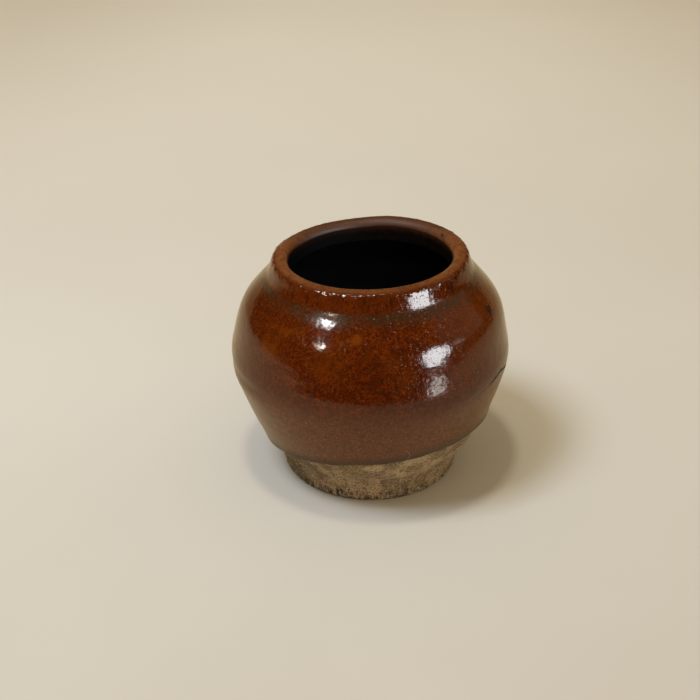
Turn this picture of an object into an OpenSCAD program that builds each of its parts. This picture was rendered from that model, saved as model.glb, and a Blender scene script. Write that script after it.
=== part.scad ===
// Small round-bellied stoneware storage jar: a trimmed foot, two bowl-shaped wall sections
// luted at the belly, a thick collar luted on the shoulder, and a glaze coat outside and inside.
// The jar leans a little on its level foot, and the glaze stops short of the foot on a slant.
// Units are millimetres, +Z is up, and the origin is under the belly on the standing plane.

/* [Body] */
// Widest diameter of the clay, at the belly
belly_d = 111; // [100:1:130]
// Height of the widest place above the standing plane
belly_h = 53; // [46:0.5:60]
// How sharply the wall turns at the belly, from 0 for a full curve to 1 for a soft keel
belly_keel = 0.5; // [0:0.1:1]
// Height above the widest place over which the wall turns inwards
turn_h = 4; // [2:0.5:8]
// Wall thickness from the belly up
wall_t = 5; // [4:0.1:6.5]
// Wall thickness where the wall rises from the base disc
foot_wall_t = 6.4; // [5:0.1:7.5]
// Lean of the jar's axis towards -X, in degrees
lean = 0.4; // [0:0.1:3]
// Height over which the two halves lap at the belly seam
belly_lap = 7; // [3:0.5:9]
// How far below the widest place the belly seam shows outside
seam_drop = 5; // [3:0.5:9]

/* [Foot] */
// Diameter of the foot at the standing plane
foot_d = 71; // [64:1:78]
// Height of the foot up to the crease where the bowl flares out
foot_h = 11.5; // [8:0.5:13]
// How much the foot's radius grows from the standing plane to the crease
foot_flare = 1.8; // [0:0.1:3]
// Width of the worn slant along the foot's lower edge
foot_edge = 0.9; // [0.3:0.1:2]
// Thickness of the floor at the centre
floor_t = 8.5; // [7:0.5:11]
// Diameter of the shallow hollow under the base
hollow_d = 52; // [40:1:58]
// Depth of the shallow hollow under the base
hollow_h = 0.9; // [0.4:0.1:2]

/* [Shoulder] */
// Height from the widest place to the groove under the collar
shoulder_h = 32.2; // [29:0.2:38]

/* [Collar] */
// Height of the collar from the groove to the top of the lip
collar_h = 8; // [6.5:0.5:10]
// Thickness of the clay at the lip
lip_w = 5.6; // [4.6:0.1:6.6]
// How much further out the collar stands at the groove than at the lip
collar_slant = 2.5; // [1:0.1:4]
// Clear diameter of the mouth over the glaze
mouth_d = 65; // [60:0.5:68]
// Radius of the lip's outer corner
lip_outer_r = 1.1; // [0.6:0.1:1.8]
// Fall of the lip from its crown to its outer corner
lip_fall = 0.4; // [0:0.1:0.8]
// Radius of the lip's inner corner
lip_inner_r = 2.4; // [1.2:0.1:3]
// Height of the straight throat below the inner corner
throat_h = 6.5; // [5:0.5:8]

/* [Glaze] */
// Thickness of the outer glaze
glaze_t = 0.5; // [0.3:0.05:0.8]
// Thickness of the inner glaze
inner_glaze_t = 0.4; // [0.3:0.05:0.6]
// Height of the slanting glaze line where it crosses the jar's axis
glaze_line_h = 22; // [18:0.5:26]
// Slant of the glaze line, in degrees
glaze_line_slant = 7.6; // [0:0.2:9]
// Compass direction in which the glaze line is highest, in degrees from +X
glaze_line_dir = -30; // [-180:5:180]

/* [Hidden] */
clay_colour = "#7d6a4a";
glaze_colour = "#5a2409";
inner_colour = "#140a06";
$fn = 96;
steps = 16;       // straight stretches in each long curve of the outline
corner_steps = 6; // straight stretches in each small round

belly_r = belly_d / 2;
foot_r = foot_d / 2;
hollow_r = hollow_d / 2;
throat_r = mouth_d / 2 + inner_glaze_t; // clay radius of the throat
lip_r = throat_r + lip_w;
groove_r = lip_r + collar_slant;
groove_z = belly_h + shoulder_h;
top_z = groove_z + collar_h;            // top of the clay lip
crease_r = foot_r + foot_flare;
throat_top_z = top_z - lip_inner_r;
throat_low_z = throat_top_z - throat_h;
reach = belly_d;                        // longer than anything on the jar

// Points on a cubic curve with two end points and two handles.
function cubic(a, b, c, d, n) = [for (i = [0:n]) let (t = i / n, s = 1 - t)
    s * s * s * a + 3 * s * s * t * b + 3 * s * t * t * c + t * t * t * d];

// Points on a round corner from one angle to another.
function corner(centre, r, from, to, n) = [for (i = [0:n])
    let (a = from + (to - from) * i / n) centre + r * [cos(a), sin(a)]];

function unit(v) = v / norm(v);
// Direction to the right of the way a line of points runs, at point i.
function side(line, i) =
    let (a = line[max(i - 1, 0)], b = line[min(i + 1, len(line) - 1)], d = unit(b - a)) [d.y, -d.x];
// The line moved to its right by t1 at its start and t2 at its end.
function beside(line, t1, t2) = [for (i = [0:len(line) - 1])
    line[i] + (t1 + (t2 - t1) * i / (len(line) - 1)) * side(line, i)];
function first(line, n) = [for (i = [0:n]) line[i]];
function from(line, n) = [for (i = [n:len(line) - 1]) line[i]];
function flip(line) = [for (i = [len(line) - 1:-1:0]) line[i]];

// Radius of a rising line of points at a given height.
function radius_at(line, z) = lookup(z, [for (p = line) [p.y, p.x]]);
function below(line, z) = [for (p = line) if (p.y < z - 0.05) p];
function above(line, z) = [for (p = line) if (p.y > z + 0.05) p];

// Outside of the clay, from the crease over the foot up to the groove. A line that runs
// upwards has the open side on its right.
seam_z = belly_h - seam_drop;
rise = seam_z - foot_h;
under_slope = 0.155 + 0.2 * belly_keel; // how far the outline leans out just under the belly
over_slope = 0.125 + 0.2 * belly_keel;  // how far it leans in just over the belly
seam_r = belly_r - under_slope * seam_drop / 2;
crease = [crease_r, foot_h];
bowl = cubic(crease, crease + [(seam_r - crease_r) * 0.21, 0],
    [seam_r - under_slope * rise * 0.52, seam_z - rise * 0.52], [seam_r, seam_z], steps);
belly = cubic([seam_r, seam_z], [seam_r + under_slope * seam_drop * 0.35, seam_z + seam_drop * 0.35],
    [belly_r, belly_h - seam_drop * 0.3], [belly_r, belly_h], corner_steps);
crown_r = belly_r - over_slope * turn_h / 2;
crown_z = belly_h + turn_h;
crown_h = groove_z - crown_z;
crown = cubic([belly_r, belly_h], [belly_r, belly_h + turn_h * 0.3],
    [crown_r + over_slope * turn_h * 0.35, crown_z - turn_h * 0.35], [crown_r, crown_z], corner_steps);
shoulder = cubic([crown_r, crown_z], [crown_r - over_slope * crown_h * 0.65, crown_z + crown_h * 0.65],
    [groove_r + crown_h * 0.35, groove_z - crown_h * 0.43], [groove_r, groove_z], steps);
upper = concat(belly, from(crown, 1), from(shoulder, 1));

// Outside of the collar and over its lip, ending at the top of the throat.
corner_z = top_z - lip_outer_r - lip_fall;
collar_side = cubic([groove_r, groove_z], [groove_r - collar_slant * 0.3, groove_z + collar_h * 0.15],
    [lip_r + collar_slant * 0.3, groove_z + collar_h * 0.5], [lip_r, corner_z], corner_steps);
lip_out = corner([lip_r - lip_outer_r, corner_z], lip_outer_r, 0, 78, corner_steps);
lip_in = corner([throat_r + lip_inner_r, throat_top_z], lip_inner_r, 95, 180, corner_steps);
lip_top = cubic(lip_out[corner_steps], lip_out[corner_steps] + [-1, 0.2],
    lip_in[0] + [1, 0.1], lip_in[0], corner_steps);
over_lip = concat(collar_side, from(lip_out, 1), from(lip_top, 1), from(lip_in, 1));

// Inside of the clay, rising from the middle of the floor to the bottom of the throat. The
// bowl's inner face follows its outside from a short way up, where the floor runs into it.
bowl_in = from(beside(bowl, -foot_wall_t, -wall_t), 3);
floor_edge = bowl_in[0];
floor_dir = unit(bowl_in[1] - bowl_in[0]);
floor_in = cubic([0, floor_t], [floor_edge.x * 0.5, floor_t],
    floor_edge - floor_dir * (floor_edge.y - floor_t) / floor_dir.y, floor_edge, steps);
upper_in = beside(upper, -wall_t, -wall_t);
ledge_z = throat_low_z - wall_t * 0.55; // the shoulder's inner face ends here, under the throat
wall_in = concat(from(bowl_in, 1), below(from(upper_in, 1), ledge_z));

// Ends of the three luted seams. Each seam slopes down towards the inside, as a lapped coil does.
disc_at = round(steps * 0.57); // place in floor_in where the disc's seam comes out
belly_seam_z = seam_z - belly_lap;
belly_seam = [radius_at(wall_in, belly_seam_z), belly_seam_z];
neck_seam = [throat_r, throat_low_z];

// The whole inside in one line, from the top of the throat down to the middle of the floor.
inside = concat([[throat_r, throat_top_z]], [neck_seam], flip(wall_in), flip(floor_in));

// Outlines of the glaze: the open faces of the clay moved outwards by the glaze's thickness.
glazed = concat(bowl, from(upper, 1), from(over_lip, 1));
mouth_top = [mouth_d / 2, throat_top_z]; // the two coats meet here
glaze_face = concat(first(beside(glazed, glaze_t, glaze_t), len(glazed) - 2), [mouth_top]);
coat = beside(inside, inner_glaze_t, inner_glaze_t);
inner_face = concat([mouth_top, [mouth_top.x, coat[1].y]], from(first(coat, len(coat) - 2), 2),
    [[0, floor_t + inner_glaze_t]]);

// Puts a piece drawn about an upright axis on the jar's own leaning axis.
module leaning() {
    translate([0, 0, belly_h]) rotate([0, -lean, 0]) translate([0, 0, -belly_h]) children();
}

module turned(outline) {
    leaning() rotate_extrude() polygon(outline);
}

// Disc that the jar is built on. Its sides are the foot, cut off level and worn along the edge.
module base_disc() {
    foot_x = belly_h * sin(lean); // the leaning axis meets the standing plane here
    below_z = foot_r * sin(lean) + 2;
    color(clay_colour) difference() {
        turned(concat([[0, -below_z], [foot_r - foot_flare * below_z / foot_h, -below_z], crease],
            flip(first(floor_in, disc_at))));
        translate([-reach, -reach, -reach]) cube([2 * reach, 2 * reach, reach]);
        translate([foot_x, 0, 0]) {
            rotate_extrude() polygon([[foot_r - foot_edge, -1], [foot_r - foot_edge, 0],
                [foot_r + 2, (foot_edge + 2) * 1.3], [foot_r + 4, (foot_edge + 2) * 1.3], [foot_r + 4, -1]]);
            translate([0, 0, -1]) cylinder(h = hollow_h + 1, r1 = hollow_r + 1, r2 = hollow_r - hollow_h);
        }
    }
}

// Bowl-shaped lower half, standing on the disc and lapping over its edge inside.
module lower_wall() {
    color(clay_colour) turned(concat(bowl, [belly_seam],
        flip(below(from(bowl_in, 1), belly_seam_z)), flip(from(floor_in, disc_at))));
}

// Upper half, from the belly seam over the shoulder to the groove.
module upper_wall() {
    color(clay_colour) turned(concat(upper, [neck_seam], flip(above(wall_in, belly_seam_z)), [belly_seam]));
}

// Thick rolled collar with the lip and the throat.
module collar() {
    color(clay_colour) turned(concat(over_lip, [neck_seam]));
}

// Glassy coat from the slanting glaze line up over the lip.
module outer_glaze() {
    color(glaze_colour) difference() {
        turned(concat(glaze_face, flip(glazed)));
        leaning() translate([0, 0, glaze_line_h]) rotate([0, 0, glaze_line_dir])
            rotate([0, -glaze_line_slant, 0]) translate([-reach, -reach, -reach])
                cube([2 * reach, 2 * reach, reach]);
    }
}

// Thinner dark coat down the throat and over the whole inside.
module inner_glaze() {
    color(inner_colour) turned(concat(inside, flip(inner_face)));
}

base_disc();
lower_wall();
upper_wall();
collar();
outer_glaze();
inner_glaze();
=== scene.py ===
# A small round-bellied stoneware jar with a thick collar, brown glaze and a bare sandy foot.
# The sections follow the jar as a potter puts it together, from the foot up, and then the
# glaze, the floor, the light and the camera. Lengths are metres, and +Z is up.
import math

import bmesh
import bpy
import numpy as np
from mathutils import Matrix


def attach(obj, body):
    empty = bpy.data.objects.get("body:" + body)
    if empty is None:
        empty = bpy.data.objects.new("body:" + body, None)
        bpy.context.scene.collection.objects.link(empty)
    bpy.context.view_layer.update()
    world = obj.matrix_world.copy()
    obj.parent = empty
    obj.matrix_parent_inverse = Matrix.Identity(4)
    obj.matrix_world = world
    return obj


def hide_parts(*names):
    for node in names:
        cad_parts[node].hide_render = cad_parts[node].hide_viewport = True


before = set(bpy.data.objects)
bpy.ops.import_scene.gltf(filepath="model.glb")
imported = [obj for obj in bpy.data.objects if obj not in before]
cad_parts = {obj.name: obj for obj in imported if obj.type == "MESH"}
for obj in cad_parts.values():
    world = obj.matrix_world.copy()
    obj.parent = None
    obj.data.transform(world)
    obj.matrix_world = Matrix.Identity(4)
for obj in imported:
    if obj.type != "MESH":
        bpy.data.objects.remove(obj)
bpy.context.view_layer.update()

mm = 0.001

# ---- Foot ----
# A thick disc of sandy clay, trimmed outside into a low foot while it turned, then cut off
# level. It is bare, so grains of sand stand out of it, and its lower edge is torn and worn.
foot_r = 35.5 * mm
foot_h = 11.5 * mm
crease_r = 37.3 * mm      # the bowl flares out from here
foot_edge = 0.9 * mm      # worn slant along the lower edge
hollow_r = 26.0 * mm
hollow_h = 0.9 * mm
floor_z = 8.5 * mm        # clay at the middle of the floor inside
lean = math.radians(0.4)  # the whole jar leans towards -X on its level foot
lean_z = 53.0 * mm        # height on the axis that the lean turns about


def cubic(a, b, c, d, count):
    """Points on a cubic curve with two end points and two handles."""
    t = np.linspace(0, 1, count + 1)[:, None]
    s = 1 - t
    a, b, c, d = (np.array(point, float) for point in (a, b, c, d))
    return s**3 * a + 3 * s * s * t * b + 3 * s * t * t * c + t**3 * d


def runs(line):
    """Distance of each point of a line from its start."""
    return np.r_[0, np.cumsum(np.hypot(*np.diff(line, axis=0).T))]


def even(line, step):
    """The same line of points, but about a step apart."""
    line = np.array(line, float)
    line = line[np.r_[True, np.hypot(*np.diff(line, axis=0).T) > 1e-7]]
    run = runs(line)
    at = np.linspace(0, run[-1], max(int(run[-1] / step), 1) + 1)
    return np.stack([np.interp(at, run, line[:, 0]), np.interp(at, run, line[:, 1])], 1)


def turned(name, rows, around, marks=None):
    """A closed mesh turned about Z from rows of (radius, height), which may differ round the jar."""
    rows = np.array(rows, float)
    if rows.ndim == 2:
        rows = np.repeat(rows[:, None], around, 1)
    count = len(rows)
    turn = np.linspace(0, 2 * math.pi, around, endpoint=False)
    points = np.stack([rows[..., 0] * np.cos(turn), rows[..., 0] * np.sin(turn), rows[..., 1]], -1)
    i, j = np.meshgrid(np.arange(count), np.arange(around), indexing="ij")
    after, beside = (i + 1) % count, (j + 1) % around
    faces = np.stack([i * around + j, i * around + beside, after * around + beside, after * around + j], -1)
    if rows[0, 0, 0] < 1e-9 and rows[-1, 0, 0] < 1e-9:
        faces = faces[:-1]
    mesh = bpy.data.meshes.new(name)
    mesh.from_pydata(points.reshape(-1, 3).tolist(), [], faces.reshape(-1, 4).tolist())
    for mark, values in (marks or {}).items():
        values = np.array(values, np.float32)
        if values.ndim == 1:
            values = np.repeat(values[:, None], around, 1)
        mesh.attributes.new(mark, "FLOAT", "POINT").data.foreach_set("value", values.ravel())
    shape = bmesh.new()
    shape.from_mesh(mesh)
    bmesh.ops.remove_doubles(shape, verts=shape.verts, dist=0.002 * mm)
    bmesh.ops.recalc_face_normals(shape, faces=shape.faces)
    shape.to_mesh(mesh)
    shape.free()
    piece = bpy.data.objects.new(name, mesh)
    bpy.context.scene.collection.objects.link(piece)
    return piece


class Wire:
    """The output of a node. Sums with it add Math nodes to its tree, and Wire.node adds any other."""

    def __init__(self, socket):
        self.socket = socket

    @staticmethod
    def node(tree, kind, settings=None, out=0, **values):
        node = tree.nodes.new(kind)
        for name, value in (settings or {}).items():
            setattr(node, name, value)
        for name, value in values.items():
            place = int(name[1:]) if name[0] == "i" and name[1:].isdigit() else name.replace("_", " ")
            if isinstance(value, Wire):
                tree.links.new(value.socket, node.inputs[place])
            else:
                node.inputs[place].default_value = value
        return Wire(node.outputs[out])

    def math(self, operation, *others):
        values = {f"i{place}": value for place, value in enumerate((self, *others))}
        return Wire.node(self.socket.id_data, "ShaderNodeMath", {"operation": operation}, **values)

    def __add__(self, other):
        return self.math("ADD", other)

    def __sub__(self, other):
        return self.math("SUBTRACT", other)

    def __mul__(self, other):
        return self.math("MULTIPLY", other)

    def __truediv__(self, other):
        return self.math("DIVIDE", other)

    def __rsub__(self, other):
        return self.math("MULTIPLY", -1.0) + other

    __radd__ = __add__
    __rmul__ = __mul__

    def step(self, low, high):
        """0 below low, 1 above high and smooth between, or the other way round where high is lower."""
        ends = (low, high, 0.0, 1.0) if low < high else (high, low, 1.0, 0.0)
        values = {f"i{place + 1}": value for place, value in enumerate(ends)}
        settings = {"interpolation_type": "SMOOTHSTEP"}
        return Wire.node(self.socket.id_data, "ShaderNodeMapRange", settings, i0=self, **values)

    def scaled(self, factor):
        """This vector times a number."""
        settings = {"operation": "SCALE"}
        return Wire.node(self.socket.id_data, "ShaderNodeVectorMath", settings, i0=self, i3=factor)

    def plus(self, other):
        """This vector and another."""
        settings = {"operation": "ADD"}
        return Wire.node(self.socket.id_data, "ShaderNodeVectorMath", settings, i0=self, i1=other)

    def away_from(self, *point):
        """Distance of this place from a point."""
        settings = {"operation": "DISTANCE"}
        return Wire.node(self.socket.id_data, "ShaderNodeVectorMath", settings, out=1, i0=self, i1=point)

    def parts(self):
        """The X, Y and Z of this vector."""
        return [Wire.node(self.socket.id_data, "ShaderNodeSeparateXYZ", out=n, Vector=self) for n in range(3)]


def noise(tree, at, size, detail=2.0, rough=0.5, out=0):
    """Smooth noise with bumps of about this size, from 0 to 1, or with out=1 three of them."""
    return Wire.node(tree, "ShaderNodeTexNoise", out=out, Vector=at, Scale=1 / size, Detail=detail, Roughness=rough)


def cells(tree, at, size, out=0):
    """Distance to the middle of the nearest of many cells of this size, or with out=1 its colour."""
    return Wire.node(tree, "ShaderNodeTexVoronoi", out=out, Vector=at, Scale=1 / size)


def new_tree(name, inputs):
    """A Geometry Nodes tree with named inputs, and each of them as a Wire."""
    tree = bpy.data.node_groups.new(name, "GeometryNodeTree")
    tree.interface.new_socket("Geometry", in_out="OUTPUT", socket_type="NodeSocketGeometry")
    tree.interface.new_socket("Geometry", in_out="INPUT", socket_type="NodeSocketGeometry")
    for label, kind in inputs.items():
        tree.interface.new_socket(label, in_out="INPUT", socket_type="NodeSocket" + kind)
    given = tree.nodes.new("NodeGroupInput")
    return tree, {socket.name: Wire(socket) for socket in given.outputs if socket.name}


def end_tree(tree, geometry, material):
    """Ends a tree in plain mesh with one material."""
    real = Wire.node(tree, "GeometryNodeRealizeInstances", Geometry=geometry)
    painted = Wire.node(tree, "GeometryNodeSetMaterial", Geometry=real, Material=material)
    tree.links.new(painted.socket, tree.nodes.new("NodeGroupOutput").inputs[0])


def shaped(piece, tree, **values):
    """Runs a tree on a piece with these inputs, and keeps the result as plain mesh."""
    modifier = piece.modifiers.new(tree.name, "NODES")
    modifier.node_group = tree
    for item in tree.interface.items_tree:
        if item.in_out == "INPUT" and item.name.replace(" ", "_") in values:
            modifier[item.identifier] = values[item.name.replace(" ", "_")]
    graph = bpy.context.evaluated_depsgraph_get()
    piece.data = bpy.data.meshes.new_from_object(piece.evaluated_get(graph))
    piece.modifiers.clear()
    piece.data.shade_smooth()
    piece.data.set_sharp_from_angle(angle=math.radians(55))
    return piece


# Raw clay as the trimming tool leaves it: grainy, with pits where sand was dragged out, and
# upright tears along the foot's lower edge. The depth of each pit stays on the mesh as "pit".
torn, given = new_tree("torn_clay", {
    "Grain": "Float", "Pit Depth": "Float", "Tear Depth": "Float", "Tear Height": "Float",
    "Material": "Material"})
place = Wire.node(torn, "GeometryNodeInputPosition")
x, y, z = place.parts()
radius = (x * x + y * y).math("SQRT") + 1e-6
outwards = Wire.node(torn, "ShaderNodeCombineXYZ", X=x / radius, Y=y / radius, Z=0.0)
upright = Wire.node(torn, "ShaderNodeCombineXYZ", X=x, Y=y, Z=z * 0.22)
grain = noise(torn, place, 1.1 * mm, 3.0, 0.6) - 0.5
pits = cells(torn, place, 2.0 * mm).step(0.3, 0.14) * noise(torn, place, 5 * mm).step(0.5, 0.6)
tears = cells(torn, upright, 1.0 * mm).step(0.58, 0.4) * noise(torn, upright, 2.2 * mm).step(0.42, 0.5)
low = (given["Tear Height"] + noise(torn, place, 6 * mm) * 4 * mm - z).step(0.5 * mm, 1.3 * mm)
tears = tears * low
open_side = Wire.node(torn, "GeometryNodeInputNamedAttribute", {"data_type": "FLOAT"}, Name="open")
depth = (pits * given["Pit Depth"] + tears * given["Tear Depth"]) * open_side
out = grain * given["Grain"] * open_side - depth
moved = Wire.node(torn, "GeometryNodeSetPosition", Geometry=given["Geometry"], Offset=outwards.scaled(out))
marked = Wire.node(torn, "GeometryNodeStoreNamedAttribute", {"data_type": "FLOAT", "domain": "POINT"},
                   Geometry=moved, Name="pit", Value=(pits.math("MAXIMUM", tears)) * open_side)
end_tree(torn, marked, given["Material"])

# What the hand leaves on every wall: a slow wobble, soft dents, throwing rings, a pressed seam
# below the belly that was wiped smooth at the front, a rim that isn't quite level and dips at
# the back left, and the lean over the level foot.
by_hand, given = new_tree("by_hand", {
    "Wobble": "Float", "Dent": "Float", "Ring Depth": "Float", "Ring Pitch": "Float",
    "Seam Height": "Float", "Seam Depth": "Float", "Seam Width": "Float",
    "Left Swell": "Float", "Right Swell": "Float", "Bulge": "Float", "Bulge Place": "Vector",
    "Rim Tilt": "Float", "Rim Dip": "Float", "Rim Dip Bearing": "Float",
    "Lean": "Float", "Lean Height": "Float", "Foot Height": "Float", "Material": "Material"})
place = Wire.node(by_hand, "GeometryNodeInputPosition")
x, y, z = place.parts()
radius = (x * x + y * y).math("SQRT") + 1e-6
outwards = Wire.node(by_hand, "ShaderNodeCombineXYZ", X=x / radius, Y=y / radius, Z=0.0)
half = (-0.5, -0.5, -0.5)
level = (z / given["Foot Height"]).step(0.0, 1.0)
slow = noise(by_hand, place, 48 * mm, 1.0, out=1).plus(half).scaled(given["Wobble"] * level)
soft = noise(by_hand, place, 13 * mm, 1.0, out=1).plus(half).scaled(given["Dent"] * level)
waver = noise(by_hand, place, 30 * mm, 1.0)
rings = (((z + waver * 9 * mm) / given["Ring Pitch"]) * 2 * math.pi).math("SINE")
rings = rings * given["Ring Depth"] * noise(by_hand, place, 25 * mm).step(0.35, 0.65) * level
off = (z - given["Seam Height"] + waver * 3 * mm - 1.5 * mm) / given["Seam Width"]
side = (x / radius).step(-0.55, -0.85) + (x / radius).step(0.6, 0.9) * 0.3
seam = (off * off * -1.0).math("EXPONENT") * given["Seam Depth"] * side
low_left = (z - 46 * mm) / (6 * mm)
high_right = (z - 72 * mm) / (9 * mm)
swell = (low_left * low_left * -1.0).math("EXPONENT") * given["Left Swell"] * (x / radius).step(-0.5, -1.0)
swell = swell + (high_right * high_right * -1.0).math("EXPONENT") * given["Right Swell"] * (x / radius).step(0.5, 1.0)
east, north, up = place.plus(given["Bulge Place"].scaled(-1.0)).scaled(1 / (12 * mm)).parts()
near = east * east + north * north + up * up * 12.5
swell = swell + (near * -1.0).math("EXPONENT") * given["Bulge"]
bearing = given["Rim Dip Bearing"]
towards = (x * bearing.math("COSINE") + y * bearing.math("SINE")) / radius
dip = given["Rim Dip"] * towards.step(0.66, 0.98) * z.step(82 * mm, 90 * mm)
tip = x * given["Rim Tilt"] * z.step(62 * mm, 90 * mm) - dip
rim = Wire.node(by_hand, "ShaderNodeCombineXYZ", X=0.0, Y=0.0, Z=tip)
push = slow.plus(soft).plus(outwards.scaled(rings - seam + swell)).plus(rim)
kept = Wire.node(by_hand, "GeometryNodeSetPosition", Geometry=given["Geometry"], Offset=push)
x, y, z = Wire.node(by_hand, "GeometryNodeInputPosition").parts()
cosine, sine = given["Lean"].math("COSINE"), given["Lean"].math("SINE")
rise = z - given["Lean Height"]
lift = (z / given["Foot Height"]).math("MINIMUM", 1.0).math("MAXIMUM", 0.0)
leant_x = x * cosine - rise * sine
leant_z = x * sine + rise * cosine + given["Lean Height"]
level_x = x + given["Lean Height"] * sine
stood = Wire.node(by_hand, "ShaderNodeCombineXYZ", X=level_x + (leant_x - level_x) * lift, Y=y,
                  Z=z + (leant_z - z) * lift)
stood = Wire.node(by_hand, "GeometryNodeSetPosition", Geometry=kept, Position=stood)
end_tree(by_hand, stood, given["Material"])
hand = {"Wobble": 0.8 * mm, "Dent": 0.12 * mm, "Ring_Depth": 0.012 * mm, "Ring_Pitch": 4.4 * mm,
        "Seam_Height": 50.3 * mm, "Seam_Depth": 0.35 * mm, "Seam_Width": 2.1 * mm,
        "Left_Swell": 0.55 * mm, "Right_Swell": 0.8 * mm,
        "Bulge": 0.28 * mm, "Bulge_Place": (-18 * mm, -40.6 * mm, 81.2 * mm),
        "Rim_Tilt": math.tan(math.radians(1.6)), "Rim_Dip": 0.8 * mm, "Rim_Dip_Bearing": math.radians(125),
        "Lean": lean, "Lean_Height": lean_z, "Foot_Height": foot_h}


def new_finish(name, **same):
    """A material with these values on its shader's own sockets, its tree and its Object coordinates."""
    material = bpy.data.materials.new(name)
    material.use_nodes = True
    shader = material.node_tree.nodes["Principled BSDF"]
    for label, value in same.items():
        shader.inputs[label.replace("_", " ")].default_value = value
    return material, material.node_tree, Wire.node(material.node_tree, "ShaderNodeTexCoord", out=3)


def painted(material, **varied):
    """Links what changes over the surface to the material's shader."""
    shader = material.node_tree.nodes["Principled BSDF"]
    for label, wire in varied.items():
        material.node_tree.links.new(wire.socket, shader.inputs[label.replace("_", " ")])


def blend(tree, mask, under, over, kind="MIX"):
    """Two colours, with the second over the first as far as the mask says."""
    colours = {}
    for place, colour in (("i6", under), ("i7", over)):
        colours[place] = colour if isinstance(colour, Wire) else (*colour, 1)
    settings = {"data_type": "RGBA", "blend_type": kind}
    return Wire.node(tree, "ShaderNodeMix", settings, out=2, i0=mask, **colours)


def mark(tree, name):
    """A number that the mesh carries at each of its points."""
    return Wire.node(tree, "ShaderNodeAttribute", {"attribute_name": name}, out=2)


def bump(tree, height, distance, strength=1.0, under=None):
    """The normal of a surface with this height on it, in units of distance, over another bump."""
    more = {} if under is None else {"Normal": under}
    return Wire.node(tree, "ShaderNodeBump", Height=height, Distance=distance, Strength=strength, **more)


raw_clay, tree, at = new_finish("raw_clay", Specular_IOR_Level=0.25)
x, y, z = at.parts()
fine = noise(tree, at, 0.7 * mm, 4.0, 0.7)
sand = noise(tree, at, 0.4 * mm, 1.0, 0.6)
cloud = noise(tree, at, 8 * mm, 3.0, 0.6)
wet = noise(tree, at, 4 * mm, 4.0, 0.6)
colour = blend(tree, cloud.step(0.42, 0.58), (0.24, 0.148, 0.063), (0.53, 0.375, 0.195))
colour = blend(tree, wet.step(0.52, 0.64) * 0.55, colour, (0.31, 0.155, 0.055))
colour = blend(tree, fine.step(0.5, 0.64) * 0.6, colour, (0.52, 0.42, 0.27))
colour = blend(tree, fine.step(0.48, 0.38) * 0.75, colour, (0.10, 0.056, 0.022))
colour = blend(tree, sand.step(0.6, 0.72) * 0.6, colour, (0.66, 0.57, 0.41))
colour = blend(tree, sand.step(0.38, 0.28) * 0.6, colour, (0.07, 0.042, 0.02))
# The bare clay is painted darker towards the left: painted shade on the side under the belly.
colour = blend(tree, (x + wet * 12 * mm).step(-4 * mm, -24 * mm) * 0.7, colour, (0.088, 0.062, 0.03))
# A darker brown band just below the glaze edge: partly a stain in the clay, partly painted shade under the glaze's
# rolled edge.
under_edge = 22 * mm + (x * 0.866 - y * 0.5) * math.tan(math.radians(7.6)) - z + cloud * 3 * mm
colour = blend(tree, under_edge.step(4.5 * mm, 1.8 * mm) * 0.6, colour, (0.135, 0.072, 0.026))
upright = Wire.node(tree, "ShaderNodeCombineXYZ", X=x, Y=y, Z=z * 0.3)
low_down = (z + wet * 3 * mm).step(5.5 * mm, 2.5 * mm)
# Dark upright crack lines, strongest near the bottom: painted shade in the torn cracks.
cracks = noise(tree, upright, 0.8 * mm, 2.0, 0.6).step(0.47, 0.38)
colour = blend(tree, cracks * (0.25 + low_down * 0.65), colour, (0.05, 0.027, 0.011))
colour = blend(tree, low_down * sand.step(0.55, 0.66) * 0.8, colour, (0.62, 0.54, 0.40))
colour = blend(tree, cells(tree, at, 1.1 * mm).step(0.26, 0.14) * 0.7, colour, (0.07, 0.038, 0.015))
# The pits and tears are painted dark: painted shade in the hollows.
colour = blend(tree, mark(tree, "pit").step(0.1, 0.6) * 0.85, colour, (0.024, 0.013, 0.006))
# The lowest millimetre of the clay, except at the right, is painted dark: a painted contact shadow along the floor.
colour = blend(tree, z.step(1.3 * mm, 0.3 * mm) * x.step(20 * mm, -10 * mm) * 0.7, colour, (0.03, 0.018, 0.009))
skin = bump(tree, fine, 0.4 * mm)
skin = bump(tree, sand, 0.15 * mm, 0.8, skin)
painted(raw_clay, Base_Color=colour, Roughness=0.82 + fine * 0.16, Normal=skin)

seam_z = 48.0 * mm
belly_r = 55.5 * mm
belly_z = 53.0 * mm
seam_r = belly_r - 0.255 * 2.5 * mm
rise = seam_z - foot_h
bowl = cubic((crease_r, foot_h), (crease_r + (seam_r - crease_r) * 0.21, foot_h),
             (seam_r - 0.255 * rise * 0.52, seam_z - rise * 0.52), (seam_r, seam_z), 160)
foot_side = np.array([[foot_r - foot_edge, 0], [foot_r + 0.15 * mm, 1.35 * mm], [crease_r, foot_h]])
outside = even(np.vstack([even(foot_side, 0.2 * mm), bowl[1:]]), 0.34 * mm)
crease_at = int(np.argmin(np.hypot(outside[:, 0] - crease_r, outside[:, 1] - foot_h)))
for _ in range(10):
    near = slice(crease_at - 4, crease_at + 5)
    outside[near] = (outside[crease_at - 5:crease_at + 4] + 2 * outside[near]
                     + outside[crease_at - 3:crease_at + 6]) / 4


def inwards(line, first, last):
    """The line moved to its inner side by one distance at its start and another at its end."""
    along = np.gradient(line, axis=0)
    along /= np.hypot(*along.T)[:, None]
    return line + np.linspace(first, last, len(line))[:, None] * np.stack([-along[:, 1], along[:, 0]], 1)


# The inner face follows the outside from a short way up, where the floor runs into it.
bowl_in = inwards(bowl, 6.4 * mm, 5.0 * mm)[30:]
slope = bowl_in[1] - bowl_in[0]
meets = bowl_in[0] - slope * (bowl_in[0, 1] - floor_z) / slope[1]
floor_in = cubic((0, floor_z), (bowl_in[0, 0] * 0.5, floor_z), meets, bowl_in[0], 64)
disc_at = 36

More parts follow.
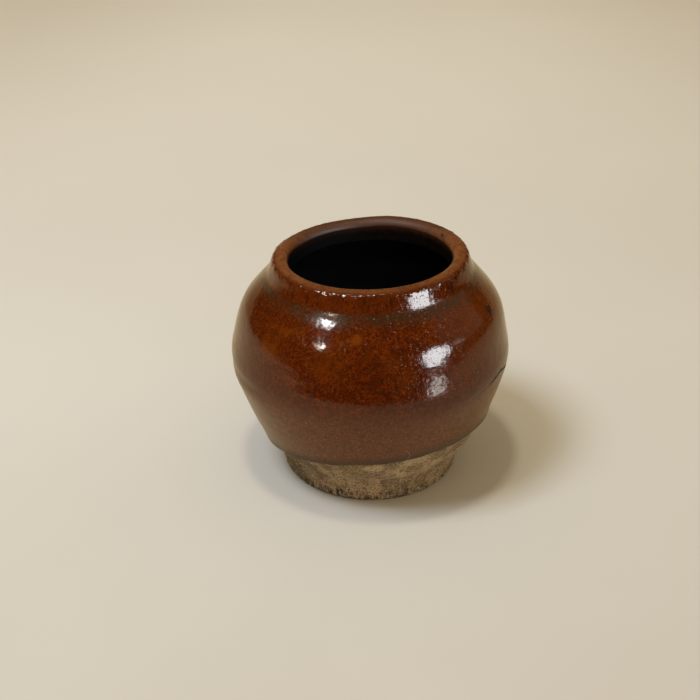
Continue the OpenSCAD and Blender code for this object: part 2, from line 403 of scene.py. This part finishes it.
side = outside[:crease_at + 1]
under = np.vstack([even([[0, hollow_h], [hollow_r - hollow_h, hollow_h]], 2.5 * mm),
                   even([[hollow_r, 0], [foot_r - foot_edge, 0]], 0.8 * mm)[:-1]])
hidden = floor_in[disc_at::-4]
foot = turned("foot", np.vstack([under, side, hidden, floor_in[:1]]), 740,
              {"open": np.r_[np.zeros(len(under)), np.ones(len(side)), np.zeros(len(hidden) + 1)]})
shaped(foot, torn, Grain=0.22 * mm, Pit_Depth=0.4 * mm, Tear_Depth=0.9 * mm, Tear_Height=3.0 * mm,
       Material=raw_clay)
shaped(foot, by_hand, Material=raw_clay, **hand)
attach(foot, "root")
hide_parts("base_disc")

# ---- Lower wall ----
# A bowl of the same clay, thrown on the disc up to the belly. Its lower band stays bare, and the
# rest is under the glaze. A wide lapped seam at its rim takes the upper half.
bare = outside[crease_at:]
bare = np.vstack([bare[bare[:, 1] < 31 * mm], even(bare[bare[:, 1] >= 31 * mm], 1.6 * mm)])
rim_in = bowl_in[bowl_in[:, 1] < 41 * mm]
inner = np.vstack([rim_in[::-8], floor_in[:disc_at:-6], floor_in[disc_at:disc_at + 1]])
lower_wall = turned("lower_bowl", np.vstack([bare, inner]), 620,
                    {"open": np.r_[np.ones(len(bare)), np.zeros(len(inner))]})
shaped(lower_wall, torn, Grain=0.16 * mm, Pit_Depth=0.3 * mm, Tear_Depth=0.0, Tear_Height=2.0 * mm,
       Material=raw_clay)
shaped(lower_wall, by_hand, Material=raw_clay, **hand)
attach(lower_wall, "root")
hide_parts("lower_wall")

# Grains of sand that stand half out of the bare clay, a few of them dark with iron.
gritty, given = new_tree("gritty", {
    "Grains": "Float", "Smallest": "Float", "Largest": "Float", "Seed": "Int", "Material": "Material"})
open_side = Wire.node(gritty, "GeometryNodeInputNamedAttribute", {"data_type": "FLOAT"}, Name="open")
x, y, z = Wire.node(gritty, "GeometryNodeInputPosition").parts()
spots = Wire.node(gritty, "GeometryNodeDistributePointsOnFaces", Mesh=given["Geometry"],
                  Density=given["Grains"] * open_side.math("GREATER_THAN", 0.99) * z.math("GREATER_THAN", 0.4 * mm),
                  Seed=given["Seed"])
sizes = Wire.node(gritty, "FunctionNodeRandomValue", {"data_type": "FLOAT"}, out=1, i2=given["Smallest"],
                  i3=given["Largest"], Seed=given["Seed"])
turns = Wire.node(gritty, "FunctionNodeRandomValue", {"data_type": "FLOAT_VECTOR"}, i0=(0.0, 0.0, 0.0),
                  i1=(6.0, 6.0, 6.0), Seed=given["Seed"])
stone = Wire.node(gritty, "GeometryNodeMeshIcoSphere", Radius=1.0, Subdivisions=1)
stones = Wire.node(gritty, "GeometryNodeInstanceOnPoints", Points=spots, Instance=stone, Rotation=turns,
                   Scale=sizes)
end_tree(gritty, stones, given["Material"])

sand_grains, tree, at = new_finish("sand_grains", Roughness=0.6)
pick = cells(tree, at, 1.7 * mm, out=1)
pick = Wire.node(tree, "ShaderNodeSeparateColor", Color=pick)
colour = blend(tree, pick.step(0.45, 0.75), (0.33, 0.24, 0.14), (0.56, 0.48, 0.34))
painted(sand_grains, Base_Color=blend(tree, pick.step(0.24, 0.18), colour, (0.05, 0.03, 0.018)))
for carrier, body_name, seed in ((foot, "sand_on_foot", 5), (lower_wall, "sand_on_wall", 8)):
    sand = bpy.data.objects.new(body_name, carrier.data.copy())
    bpy.context.scene.collection.objects.link(sand)
    shaped(sand, gritty, Grains=2.2e5, Smallest=0.09 * mm, Largest=0.26 * mm, Seed=seed, Material=sand_grains)
    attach(sand, "root")

# ---- Upper wall ----
# The second bowl, set upside down on the first and thrown on up over the shoulder. All of it
# is under glaze, and only the light soft keel at the belly tells where the two halves meet.
groove = np.array([41.0, 85.2]) * mm
crown = np.array([55.05, 57.0]) * mm
crown_h = groove[1] - crown[1]
belly = cubic((seam_r, seam_z), (seam_r + 0.255 * 1.75 * mm, seam_z + 1.75 * mm),
              (belly_r, belly_z - 1.5 * mm), (belly_r, belly_z), 12)
turn = cubic((belly_r, belly_z), (belly_r, belly_z + 1.2 * mm),
             crown + [0.225 * 1.4 * mm, -1.4 * mm], crown, 12)
shoulder = cubic(crown, crown + [-0.225 * crown_h * 0.65, crown_h * 0.65],
                 groove + [crown_h * 0.35, -crown_h * 0.43], groove, 80)
upper = np.vstack([belly, turn[1:], shoulder[1:]])
throat_r = 32.9 * mm
throat_low = np.array([throat_r, 84.3 * mm])
upper_in = inwards(upper, 5 * mm, 5 * mm)
upper_in = upper_in[upper_in[:, 1] < throat_low[1] - 2.75 * mm]
belly_seam = bowl_in[np.argmin(abs(bowl_in[:, 1] - 41 * mm))]
rest = np.vstack([throat_low[None], even(upper_in, 2.5 * mm)[::-1], belly_seam[None]])
upper_wall = turned("shoulder_wall", np.vstack([even(upper, 1.8 * mm), rest]), 240)
shaped(upper_wall, by_hand, Material=raw_clay, **hand)
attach(upper_wall, "root")
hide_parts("upper_wall")

# ---- Collar ----
# A thick coil luted into the groove on the shoulder and pressed to a cone that leans inwards,
# with a flat lip that rolls into the throat. Under glaze all over.
top_z = 93.2 * mm
lip_r = 38.5 * mm
corner = np.array([lip_r - 1.1 * mm, top_z - 1.5 * mm])
bend = np.array([throat_r + 2.4 * mm, top_z - 2.4 * mm])
slant = cubic(groove, groove + [-0.75 * mm, 1.2 * mm], (lip_r + 0.75 * mm, groove[1] + 4 * mm),
              (lip_r, corner[1]), 24)
angle = np.radians(np.linspace(0, 78, 10))[:, None]
lip_out = corner + 1.1 * mm * np.hstack([np.cos(angle), np.sin(angle)])
angle = np.radians(np.linspace(95, 180, 14))[:, None]
lip_in = bend + 2.4 * mm * np.hstack([np.cos(angle), np.sin(angle)])
lip_top = cubic(lip_out[-1], lip_out[-1] + [-1 * mm, 0.2 * mm], lip_in[0] + [1 * mm, 0.1 * mm], lip_in[0], 8)
over_lip = np.vstack([slant, lip_out[1:], lip_top[1:], lip_in[1:]])
collar = turned("collar_coil", np.vstack([even(over_lip, 0.8 * mm), throat_low[None]]), 240)
shaped(collar, by_hand, Material=raw_clay, **hand)
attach(collar, "root")
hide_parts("collar")

# ---- Glaze inside ----
# The jar was filled with glaze and poured out, which left a thin dark coat down the throat and
# over the whole inside. It meets the outer coat at the top of the throat. Its near-black colour
# is partly that dark glaze and partly painted shade inside the jar.
inner_t = 0.4 * mm
mouth_top = np.array([32.5, 90.8]) * mm
inside = np.vstack([[[throat_r, mouth_top[1]]], throat_low[None], upper_in[::-1],
                    bowl_in[bowl_in[:, 1] < 43 * mm][::-1], floor_in[-2::-1]])
face = even(inside[1:], 0.5 * mm)
face = inwards(face[::-1], inner_t, inner_t)[::-1]
face = face[face[:, 1] < throat_low[1] - 1 * mm]
face = np.vstack([even([mouth_top, throat_low - [inner_t, 0]], 0.5 * mm), even(face, 1 * mm)[:-1],
                  [[0, floor_z + inner_t]]])
rows = np.vstack([face[::-1], even(inside, 2 * mm)[:-1], [[0, floor_z]]])
glaze_in = turned("glaze_inside", rows, 300, {"height": rows[:, 1]})

dark_glaze, tree, at = new_finish("dark_glaze", IOR=1.2, Specular_IOR_Level=0.3)
height = mark(tree, "height")
spot = noise(tree, at, 1.5 * mm, 3.0, 0.6)
# Near-black, and brown only near the top of the throat: the dark glaze's colour with painted shade inside the jar.
colour = blend(tree, spot.step(0.35, 0.65), (0.0022, 0.0009, 0.0003), (0.0045, 0.0017, 0.0005))
colour = blend(tree, (height + spot * 2 * mm).step(89 * mm, 92.6 * mm) * 0.85, colour, (0.05, 0.014, 0.003))
skin = bump(tree, noise(tree, at, 1.4 * mm, 2.0), 0.1 * mm, 0.6)
painted(dark_glaze, Base_Color=colour, Roughness=0.65 + spot * 0.15, Normal=skin)
shaped(glaze_in, by_hand, Material=dark_glaze, **hand)
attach(glaze_in, "root")
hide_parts("inner_glaze")

# ---- Glaze outside ----
# A red-brown iron glaze. The jar was held by its foot and dipped aslant, so the coat ends on a
# slanting line in a thick rolled edge. It is thin on the lip and dark where it pooled in the groove.
glaze_t = 0.5 * mm
around = 520


def ripple(turn, waves, seed):
    """A wavy line round the jar that meets itself, between about -1 and 1."""
    dice = np.random.default_rng(seed)
    return sum(np.sin(n * turn + dice.uniform(0, 6.28)) * dice.uniform(0.5, 1) for n in waves) / len(waves)**0.5


skin_line = even(np.vstack([bowl, belly[1:], turn[1:], shoulder[1:], over_lip[1:]]), 0.1 * mm)
window = np.exp(-np.linspace(-2, 2, 15)**2)
window /= window.sum()
padded_line = np.pad(skin_line, ((7, 7), (0, 0)), "edge")
smooth_line = np.stack([np.convolve(padded_line[:, n], window, "valid") for n in (0, 1)], 1)
wide = np.hanning(83)[1:-1] / np.hanning(83).sum()
keel = np.stack([np.convolve(np.pad(skin_line[:, n], 40, "edge"), wide, "valid") for n in (0, 1)], 1)
at_keel = np.exp(-((skin_line[:, 1] - 51 * mm) / (6 * mm))**4)[:, None] * (skin_line[:, :1] > 50 * mm)
smooth_line = smooth_line + (keel - smooth_line) * at_keel
smooth_line[0], smooth_line[-1] = skin_line[0], skin_line[-1]
along = np.gradient(smooth_line, axis=0)
normals = np.stack([along[:, 1], -along[:, 0]], 1)
normals = np.stack([np.convolve(np.pad(normals[:, n], 7, "edge"), window, "valid") for n in (0, 1)], 1)
normals /= np.hypot(*normals.T)[:, None]
normals[-1] = (-1, 0)
skin_run = runs(skin_line)
total = skin_run[-1]
belly_run = np.interp(belly_z, skin_line[:1100 if len(skin_line) > 1100 else None, 1][:600], skin_run[:600])
bearing = np.linspace(0, 2 * math.pi, around, endpoint=False)
wave = 0.35 * ripple(bearing, (2, 3, 5), 4) + 0.22 * ripple(bearing, (9, 14, 19), 7) + 0.1 * ripple(bearing, (31, 43), 9)
edge_z = np.full(around, 24 * mm)
for _ in range(6):
    edge_r = np.interp(edge_z, bowl[:, 1], bowl[:, 0])
    edge_z = 22 * mm + math.tan(math.radians(7.6)) * edge_r * np.cos(bearing + math.radians(30)) + wave * mm
edge_run = np.interp(edge_z, bowl[:, 1], runs(bowl))
roll = np.array([0, 0.04, 0.14, 0.3, 0.5, 0.75, 1.05, 1.4, 1.8, 2.3, 2.9, 3.6]) * mm
body = np.linspace(0, 1, 40)[1:, None] * (belly_run - edge_run - roll[-1]) + edge_run + roll[-1]
groove_run = skin_run[np.argmin(np.hypot(*(skin_line - groove).T))]
fixed = np.r_[np.arange(belly_run, groove_run - 3 * mm, 0.74 * mm)[1:],
              np.arange(groove_run - 3 * mm, groove_run + 8 * mm, 0.4 * mm),
              np.linspace(groove_run + 8.1 * mm, total, 32)]
place = np.vstack([edge_run + roll[:, None], body, np.repeat(fixed[:, None], around, 1)])
run = place - edge_run
bead_t = (1.2 + 0.22 * ripple(bearing, (3, 8, 17), 12)) * mm
bead_w = 0.8 * mm
start = np.sqrt(np.clip(1 - (1 - np.clip(run / bead_w, 0, 1))**2, 0, 1))
thick = start * (glaze_t + (bead_t - glaze_t) * np.exp(-np.clip(run - bead_w, 0, None) / (1.6 * mm)))
nick = np.exp(-((place - (groove_run + 7.6 * mm)) / (0.9 * mm))**2)
thick = thick - nick * (0.14 + 0.12 * ripple(bearing, (11, 24, 37, 52, 71), 21)) * mm
pool = np.exp(-((place - groove_run) / (1.2 * mm))**2)
thick = thick + pool * 0.1 * mm


def at_run(values, where):
    return np.stack([np.interp(where, skin_run, values[:, n]) for n in (0, 1)], -1)


outer = at_run(smooth_line, place) + thick[..., None] * at_run(normals, place)
outer[-1] = mouth_top
back = np.linspace(1, 0, 30)[:, None] * (total - edge_run) + edge_run
rows = np.concatenate([outer, at_run(skin_line, back)])
lip = 1 / (1 + np.exp(-(fixed - (groove_run + 8.7 * mm)) / (0.45 * mm)))
corner = np.exp(-((fixed - (groove_run + 7.7 * mm)) / (0.8 * mm))**2)
lip, corner = (np.r_[np.zeros(len(roll) + 39), values, np.zeros(30)] for values in (lip, corner))
marks = {"height": rows[..., 1], "run": np.vstack([run, back - edge_run]), "lip": lip, "corner": corner}
glaze_out = turned("glaze_outside", rows, around, marks)

brown_glaze, tree, at = new_finish("brown_glaze", IOR=1.45)
height, run_up, on_lip, on_corner = (mark(tree, name) for name in ("height", "run", "lip", "corner"))
x, y, z = at.parts()
upright = Wire.node(tree, "ShaderNodeCombineXYZ", X=x, Y=y, Z=z * 0.18)
cloud = noise(tree, at, 14 * mm, 3.0, 0.55)
drift = noise(tree, at, 4 * mm, 3.0, 0.6)
mottle = noise(tree, at, 1.1 * mm, 3.0, 0.65)
speck = noise(tree, at, 0.45 * mm, 1.0, 0.6)
streak = noise(tree, upright, 1.5 * mm, 3.0, 0.6)
pinholes = cells(tree, at, 1.3 * mm).step(0.2, 0.1)
colour = blend(tree, mottle.step(0.34, 0.66), (0.044, 0.0056, 0.0003), (0.13, 0.0185, 0.0006))
colour = blend(tree, drift.step(0.45, 0.6) * 0.65, colour, (0.05, 0.0072, 0.0004))
# The glaze is painted darker on its left, the side the lamps light most: painted shade.
colour = blend(tree, (x + cloud * 30 * mm).step(0.0, -36 * mm) * 0.5, colour, (0.05, 0.0075, 0.0004))
upper_part = height.step(52 * mm, 70 * mm)
colour = blend(tree, cloud.step(0.5, 0.7) * upper_part * 0.5, colour, (0.155, 0.032, 0.0015))
# The upper right of the glaze is painted lighter: painted light and reflection from the right.
colour = blend(tree, (x / (55 * mm)).step(0.3, 0.85) * upper_part * 0.45, colour, (0.145, 0.036, 0.004))
colour = blend(tree, speck.step(0.56, 0.68) * 0.5, colour, (0.018, 0.004, 0.0006))
colour = blend(tree, speck.step(0.42, 0.32) * 0.3, colour, (0.20, 0.062, 0.012))
lower_part = (height + drift * 8 * mm).step(60 * mm, 44 * mm)
colour = blend(tree, lower_part * 0.65, colour, (0.138, 0.029, 0.001))
colour = blend(tree, lower_part * speck.step(0.56, 0.66) * 0.6, colour, (0.30, 0.16, 0.075))
colour = blend(tree, lower_part * mottle.step(0.5, 0.36) * 0.5, colour, (0.045, 0.010, 0.001))
colour = blend(tree, lower_part * drift.step(0.5, 0.36) * 0.4, colour, (0.05, 0.012, 0.001))
colour = blend(tree, (run_up + drift * 2 * mm).step(6.5 * mm, 2.5 * mm) * 0.75, colour, (0.046, 0.026, 0.013))
# The lowest millimetre of the coat, the underside of its rolled edge, is painted dark: painted shade.
colour = blend(tree, run_up.step(1.0 * mm, 0.3 * mm) * 0.8, colour, (0.035, 0.014, 0.007))
waver = height + drift * 3 * mm - 1.5 * mm
band = waver.step(80.5 * mm, 84.5 * mm) * waver.step(87.3 * mm, 85.8 * mm) * (0.45 + cloud.step(0.38, 0.6) * 0.55)
colour = blend(tree, band * 0.75, colour, (0.036, 0.017, 0.005))
colour = blend(tree, band * speck.step(0.58, 0.7) * 0.6, colour, (0.13, 0.085, 0.04))
on_collar = waver.step(86 * mm, 88 * mm)
colour = blend(tree, on_collar * 0.5, colour, (0.105, 0.016, 0.001))
colour = blend(tree, on_collar * streak.step(0.5, 0.62) * 0.8, colour, (0.03, 0.006, 0.0006))
colour = blend(tree, on_lip * (0.55 + mottle * 0.4) * (1 - y.step(-18 * mm, -34 * mm) * 0.3), colour,
               (0.21, 0.075, 0.022))
colour = blend(tree, on_lip * drift.step(0.5, 0.64) * 0.5, colour, (0.075, 0.02, 0.004))
# The lip is painted darker at the back: painted shade on its far side.
colour = blend(tree, on_lip * y.step(4 * mm, 30 * mm) * 0.75, colour, (0.055, 0.015, 0.003))
colour = blend(tree, on_lip * streak.step(0.5, 0.66) * 0.45, colour, (0.07, 0.019, 0.004))
colour = blend(tree, on_corner * mottle.step(0.46, 0.62) * 0.7, colour, (0.03, 0.008, 0.001))
colour = blend(tree, pinholes * 0.7, colour, (0.014, 0.004, 0.001))


def spot(tint, strength, size, *place):
    """A small soft-edged mark of this colour on the glaze, at a place in millimetres."""
    away = at.away_from(*(value * mm for value in place)) + (drift + mottle - 1.0) * size
    return blend(tree, away.step(size, size * 0.4) * strength, colour, tint)


colour = spot((0.20, 0.046, 0.002), 0.5, 2.6 * mm, -4.8, -46.7, 78.9)
colour = spot((0.016, 0.006, 0.007), 0.9, 3.0 * mm, 45.9, -17.5, 76.7)
colour = spot((0.015, 0.004, 0.001), 0.8, 1.2 * mm, 52.7, -5.4, 67.5)
colour = spot((0.015, 0.005, 0.002), 0.8, 1.1 * mm, 28.6, 16.0, 93.9)
scratch = (at.away_from(12.7 * mm, -47.0 * mm, 29.1 * mm) - 3 * mm).math("ABSOLUTE").step(0.2 * mm, 0.05 * mm)
scratch = scratch * x.step(13.4 * mm, 14.4 * mm)
colour = blend(tree, scratch * 0.3, colour, (0.42, 0.33, 0.25))
# Where the two halves meet, the joint opened in a gouge at the right that runs out in a hairline.
bearing = y.math("ARCTAN2", x)
one, two, three, four, five, six = (math.radians(value) for value in (-15, -24, -46, -8, -30, -36))
joint = (51 * mm + (one - bearing) * (2.3 * mm / (one - two))).math(
    "MINIMUM", 53.3 * mm - (two - bearing) * (3.3 * mm / (two - three)))
gouge = ((z - joint + (mottle - 0.5) * 1.2 * mm) / (0.5 * mm))
gouge = (gouge * gouge * -1.0).math("EXPONENT") * bearing.step(three - 0.07, three + 0.05) * bearing.step(four, one)
gouge = gouge * (0.12 + bearing.step(six, five) * 0.88)
# The gouge is painted dark: painted shadow under the overhanging upper half.
colour = blend(tree, gouge * 0.85, colour, (0.008, 0.003, 0.001))
keel_part = height.step(43 * mm, 48 * mm) * height.step(58 * mm, 52 * mm)
rough = 0.07 + lower_part * 0.16 + keel_part * 0.1 + band * 0.1 + on_lip * 0.16 + gouge * 0.6 + on_lip * y.step(2 * mm, 24 * mm) * 0.3
skin = bump(tree, noise(tree, at, 4.5 * mm, 1.0), 0.13 * mm, 0.7)
skin = bump(tree, noise(tree, at, 1.5 * mm, 0.0), 0.05 * mm, 0.8, skin)
pock = cells(tree, at, 0.85 * mm).step(0.3, 0.1) * mottle.step(0.46, 0.6)
skin = bump(tree, speck - pinholes * 2.5 - pock * 2, 0.02 * mm, 1.0, skin)
skin = bump(tree, 1 - gouge, 0.8 * mm, 1.0, skin)
skin = bump(tree, on_corner * (noise(tree, at, 2.2 * mm, 1.0) - 0.5), 0.6 * mm, 1.0, skin)
painted(brown_glaze, Base_Color=colour, Roughness=rough + mottle * 0.05, Normal=skin)
shaped(glaze_out, by_hand, Material=brown_glaze, **hand)
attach(glaze_out, "root")
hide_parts("outer_glaze")

# ---- Floor ----
# One wide sheet of pale warm paper. It lies flat under the jar and rises a little far behind.
# What lies a hand's width in front of the picture is dark where the glaze mirrors it.
paper = bpy.data.meshes.new("floor")
sweep = [(-2.5, 0), (1.3, 0), (1.5, 0.02), (1.7, 0.09), (1.85, 0.2), (1.95, 0.35)]
points = [(side * 2.6, y, z) for y, z in sweep for side in (-1, 1)]
paper.from_pydata(points, [], [(n, n + 1, n + 3, n + 2) for n in range(0, 10, 2)])
floor = bpy.data.objects.new("floor", paper)
bpy.context.scene.collection.objects.link(floor)
pale_paper, tree, at = new_finish("pale_paper", Specular_IOR_Level=0.15, Roughness=0.9)
tone = noise(tree, at, 0.16, 3.0, 0.5)
x, y, z = at.parts()
# The paper is painted darker at the front, lighter far behind and darker towards its sides further back: painted
# light falloff over the sheet.
colour = blend(tree, y.step(-0.2, 0.12), (0.53, 0.487, 0.407), (0.61, 0.57, 0.488))
colour = blend(tree, y.step(0.1, 0.7), colour, (0.78, 0.745, 0.665))
colour = blend(tree, x.math("ABSOLUTE").step(0.08, 0.34) * y.step(0.15, 0.6) * 0.5, colour, (0.60, 0.54, 0.44))
colour = blend(tree, tone.step(0.3, 0.7) * 0.04, colour, (1.0, 0.97, 0.9))
glossy_ray = Wire.node(tree, "ShaderNodeLightPath", out=3)
mirrored = blend(tree, y.step(-0.27, -0.31), colour, (0.01, 0.01, 0.01))
mirrored = blend(tree, 1.0, mirrored, (1.0, 0.9, 0.66), "MULTIPLY")
painted(pale_paper, Base_Color=blend(tree, glossy_ray, colour, mirrored))
paper.materials.append(pale_paper)
paper.shade_smooth()

# ---- Light ----
# A lamp nearly overhead gives the jar's sharp shadow, and a wide soft one at the front left the
# blurred shadow to the right. A third, low at the front right, only shows as the round highlight.


def lamp(name, bearing, rise, far, size, watts, colour, target=(0, 0, 0.05)):
    """A square lamp at this bearing from +X and this rise, in degrees, that faces the jar."""
    light = bpy.data.lights.new(name, "AREA")
    light.shape = "RECTANGLE"
    light.size, light.size_y = size
    light.energy = watts
    light.color = colour
    holder = bpy.data.objects.new(name, light)
    bearing, rise = math.radians(bearing), math.radians(rise)
    away = np.array([math.cos(bearing) * math.cos(rise), math.sin(bearing) * math.cos(rise), math.sin(rise)])
    holder.location = np.array(target) + far * away
    holder.rotation_euler = (math.pi / 2 - rise, 0, bearing + math.pi / 2)
    holder.visible_camera = False
    bpy.context.scene.collection.objects.link(holder)
    return holder


def only_shines(lamp):
    """A lamp that is seen in the glaze and lights nothing else."""
    lamp.visible_diffuse = False
    lamp.data.use_shadow = False
    return lamp


lamp("lamp_overhead", -124, 81, 1.5, (0.15, 0.15), 5.0, (1.0, 0.95, 0.8))
soft = lamp("lamp_high_left", -145.5, 61.5, 1.0, (0.29, 0.29), 7.3, (0.70, 0.81, 1.0))
soft.visible_glossy = False
only_shines(lamp("glint_left", -149, 51.5, 1.2, (0.22, 0.1), 7.0, (0.97, 0.98, 1.0)))
window = only_shines(lamp("lamp_front_right", -36, 14, 1.2, (0.5, 0.5), 12, (0.95, 0.98, 1.0)))
window.data.shape = "DISK"
only_shines(lamp("glint_warm", -136, 36, 1.2, (0.05, 0.03), 1.5, (1.0, 0.9, 0.72)))
only_shines(lamp("card_low", -39.5, -5, 0.42, (0.085, 0.026), 0.08, (1.0, 0.95, 0.88)))
only_shines(lamp("card_right", -14, 17, 1.2, (0.16, 0.12), 0.11, (1.0, 0.95, 0.88)))
only_shines(lamp("wall_right", 2, 30, 1.2, (0.9, 0.7), 0.5, (1.0, 0.85, 0.6)))

world = bpy.data.worlds.new("room")
bpy.context.scene.world = world
world.use_nodes = True
tree = world.node_tree
background = tree.nodes["Background"]
camera_ray = Wire.node(tree, "ShaderNodeLightPath", out=0)
glossy_ray = Wire.node(tree, "ShaderNodeLightPath", out=3)
air = blend(tree, glossy_ray, (0.535, 0.437, 0.29), (0.006, 0.005, 0.004))
air = blend(tree, camera_ray, air, (0.63, 0.58, 0.485))
tree.links.new(air.socket, background.inputs["Color"])

# ---- Camera ----
# Half a metre in front of the jar and a little to its right, looking down at it.
lens = bpy.data.cameras.new("camera")
lens.sensor_width = 36
lens.lens = 71.64
camera = bpy.data.objects.new("camera", lens)
camera.location = (0, -0.5001, 0.3174)
camera.rotation_euler = (math.radians(61.85), 0, math.radians(0.93))
bpy.context.scene.collection.objects.link(camera)
bpy.context.scene.camera = camera
bpy.context.scene.view_settings.view_transform = "Standard"
